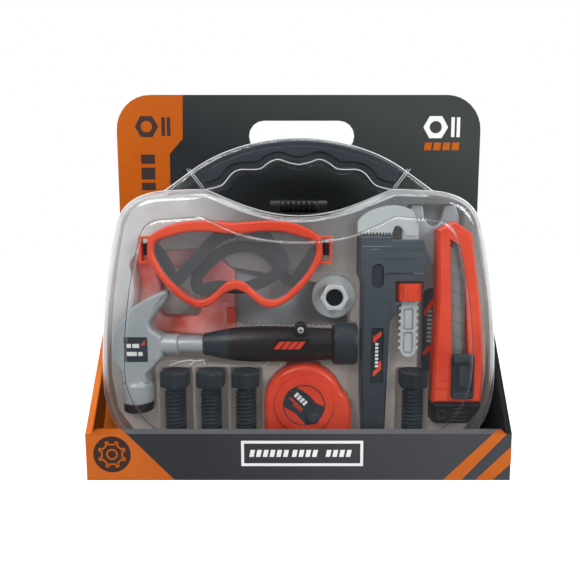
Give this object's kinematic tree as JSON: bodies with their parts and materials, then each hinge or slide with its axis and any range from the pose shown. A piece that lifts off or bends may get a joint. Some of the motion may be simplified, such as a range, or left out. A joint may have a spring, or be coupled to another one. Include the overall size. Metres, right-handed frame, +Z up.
{
  "type": "toy tool set",
  "caption": "Toy tool set in a clear hinged carry case, standing in a folded display carton with a hand slot and a raised back panel.",
  "frame": {"origin": "on the floor under the middle of the display carton", "axes": "+X to the right seen from the front, +Y to the back, +Z up"},
  "size_m": [0.34, 0.1, 0.3252],
  "materials": {
    "printed_card": "printed board with a satin varnish",
    "clear_plastic": "clear formed sheet",
    "tray_plastic": "thin formed sheet",
    "black_plastic": "moulded, fine grain",
    "slate_plastic": "moulded, soft sheen",
    "orange_plastic": "moulded, satin",
    "grey_plastic": "moulded, silver tinted",
    "blade_plastic": "moulded, satin",
    "strap_elastic": "woven elastic",
    "lens_plastic": "clear",
    "label_paper": "printed sticker",
    "steel": "plated"
  },
  "bodies": {
    "carton": {"display_carton": "printed_card"},
    "case": {"case_back_shell": "clear_plastic", "case_hinge_pin": "steel", "handle_grip": "black_plastic", "latch_catch": "black_plastic", "insert_tray": "tray_plastic", "goggle_frame": "orange_plastic", "goggle_lens": "lens_plastic", "goggle_strap": "strap_elastic", "hammer_head": "grey_plastic", "hammer_face_cap": "slate_plastic", "hammer_shaft": "grey_plastic", "hammer_handle": "slate_plastic", "hammer_screw": "steel", "saw_handle": "orange_plastic", "saw_blade": "grey_plastic", "saw_rivet_1": "steel", "saw_rivet_2": "steel", "flange_nut": "grey_plastic", "tape_case_front": "orange_plastic", "tape_case_back": "orange_plastic", "tape_spool": "slate_plastic", "tape_axle": "grey_plastic", "tape_label": "label_paper", "tape_hook": "steel", "pipe_wrench_body": "slate_plastic", "spanner": "grey_plastic", "cutter_body": "orange_plastic", "cutter_end_cap": "black_plastic", "cutter_screw": "steel", "bolt_1": "slate_plastic", "bolt_2": "slate_plastic", "bolt_3": "slate_plastic", "bolt_4": "slate_plastic"},
    "lid": {"case_front_shell": "clear_plastic", "latch_bracket": "black_plastic", "latch_pin": "steel"},
    "latch": {"latch_tab": "black_plastic"},
    "wrench_nut": {"pipe_wrench_nut": "orange_plastic"},
    "wrench_jaw": {"pipe_wrench_jaw": "grey_plastic"},
    "cutter_slide": {"cutter_slider": "slate_plastic", "cutter_blade": "blade_plastic"},
    "tape_lock": {"tape_lock_button": "slate_plastic"}
  },
  "joints": [
    {"name": "case_lift", "type": "slide", "parent": "carton", "child": "case", "axis": [0, 0, 1], "range_m": [0, 0.3]},
    {"name": "lid_open", "type": "hinge", "parent": "case", "child": "lid", "pos_m": [0, 0.0045, 0.0047], "axis": [1, 0, 0], "range_deg": [0, 90]},
    {"name": "latch_flip", "type": "hinge", "parent": "lid", "child": "latch", "pos_m": [0, -0.014, 0.2198], "axis": [1, 0, 0], "range_deg": [0, 100]},
    {"name": "wrench_nut_turn", "type": "hinge", "parent": "case", "child": "wrench_nut", "pos_m": [0.0917, -0.018, 0.1494], "axis": [0, 0, 1], "range_deg": [0, 516]},
    {"name": "wrench_jaw_slide", "type": "slide", "parent": "case", "child": "wrench_jaw", "axis": [0, 0, 1], "range_m": [0, 0.008]},
    {"name": "cutter_blade_slide", "type": "slide", "parent": "case", "child": "cutter_slide", "axis": [0, 0, 1], "range_m": [0, 0.014]},
    {"name": "tape_lock_press", "type": "slide", "parent": "case", "child": "tape_lock", "axis": [0, 1, 0], "range_m": [0, 0.0015], "stiffness_N_per_m": 200}
  ],
  "couplings": [
    {"joint": "lid_open", "follows": "case_lift", "rad_per_m": 5.2},
    {"joint": "wrench_nut_turn", "follows": "wrench_jaw_slide", "rad_per_m": 1123.6}
  ]
}
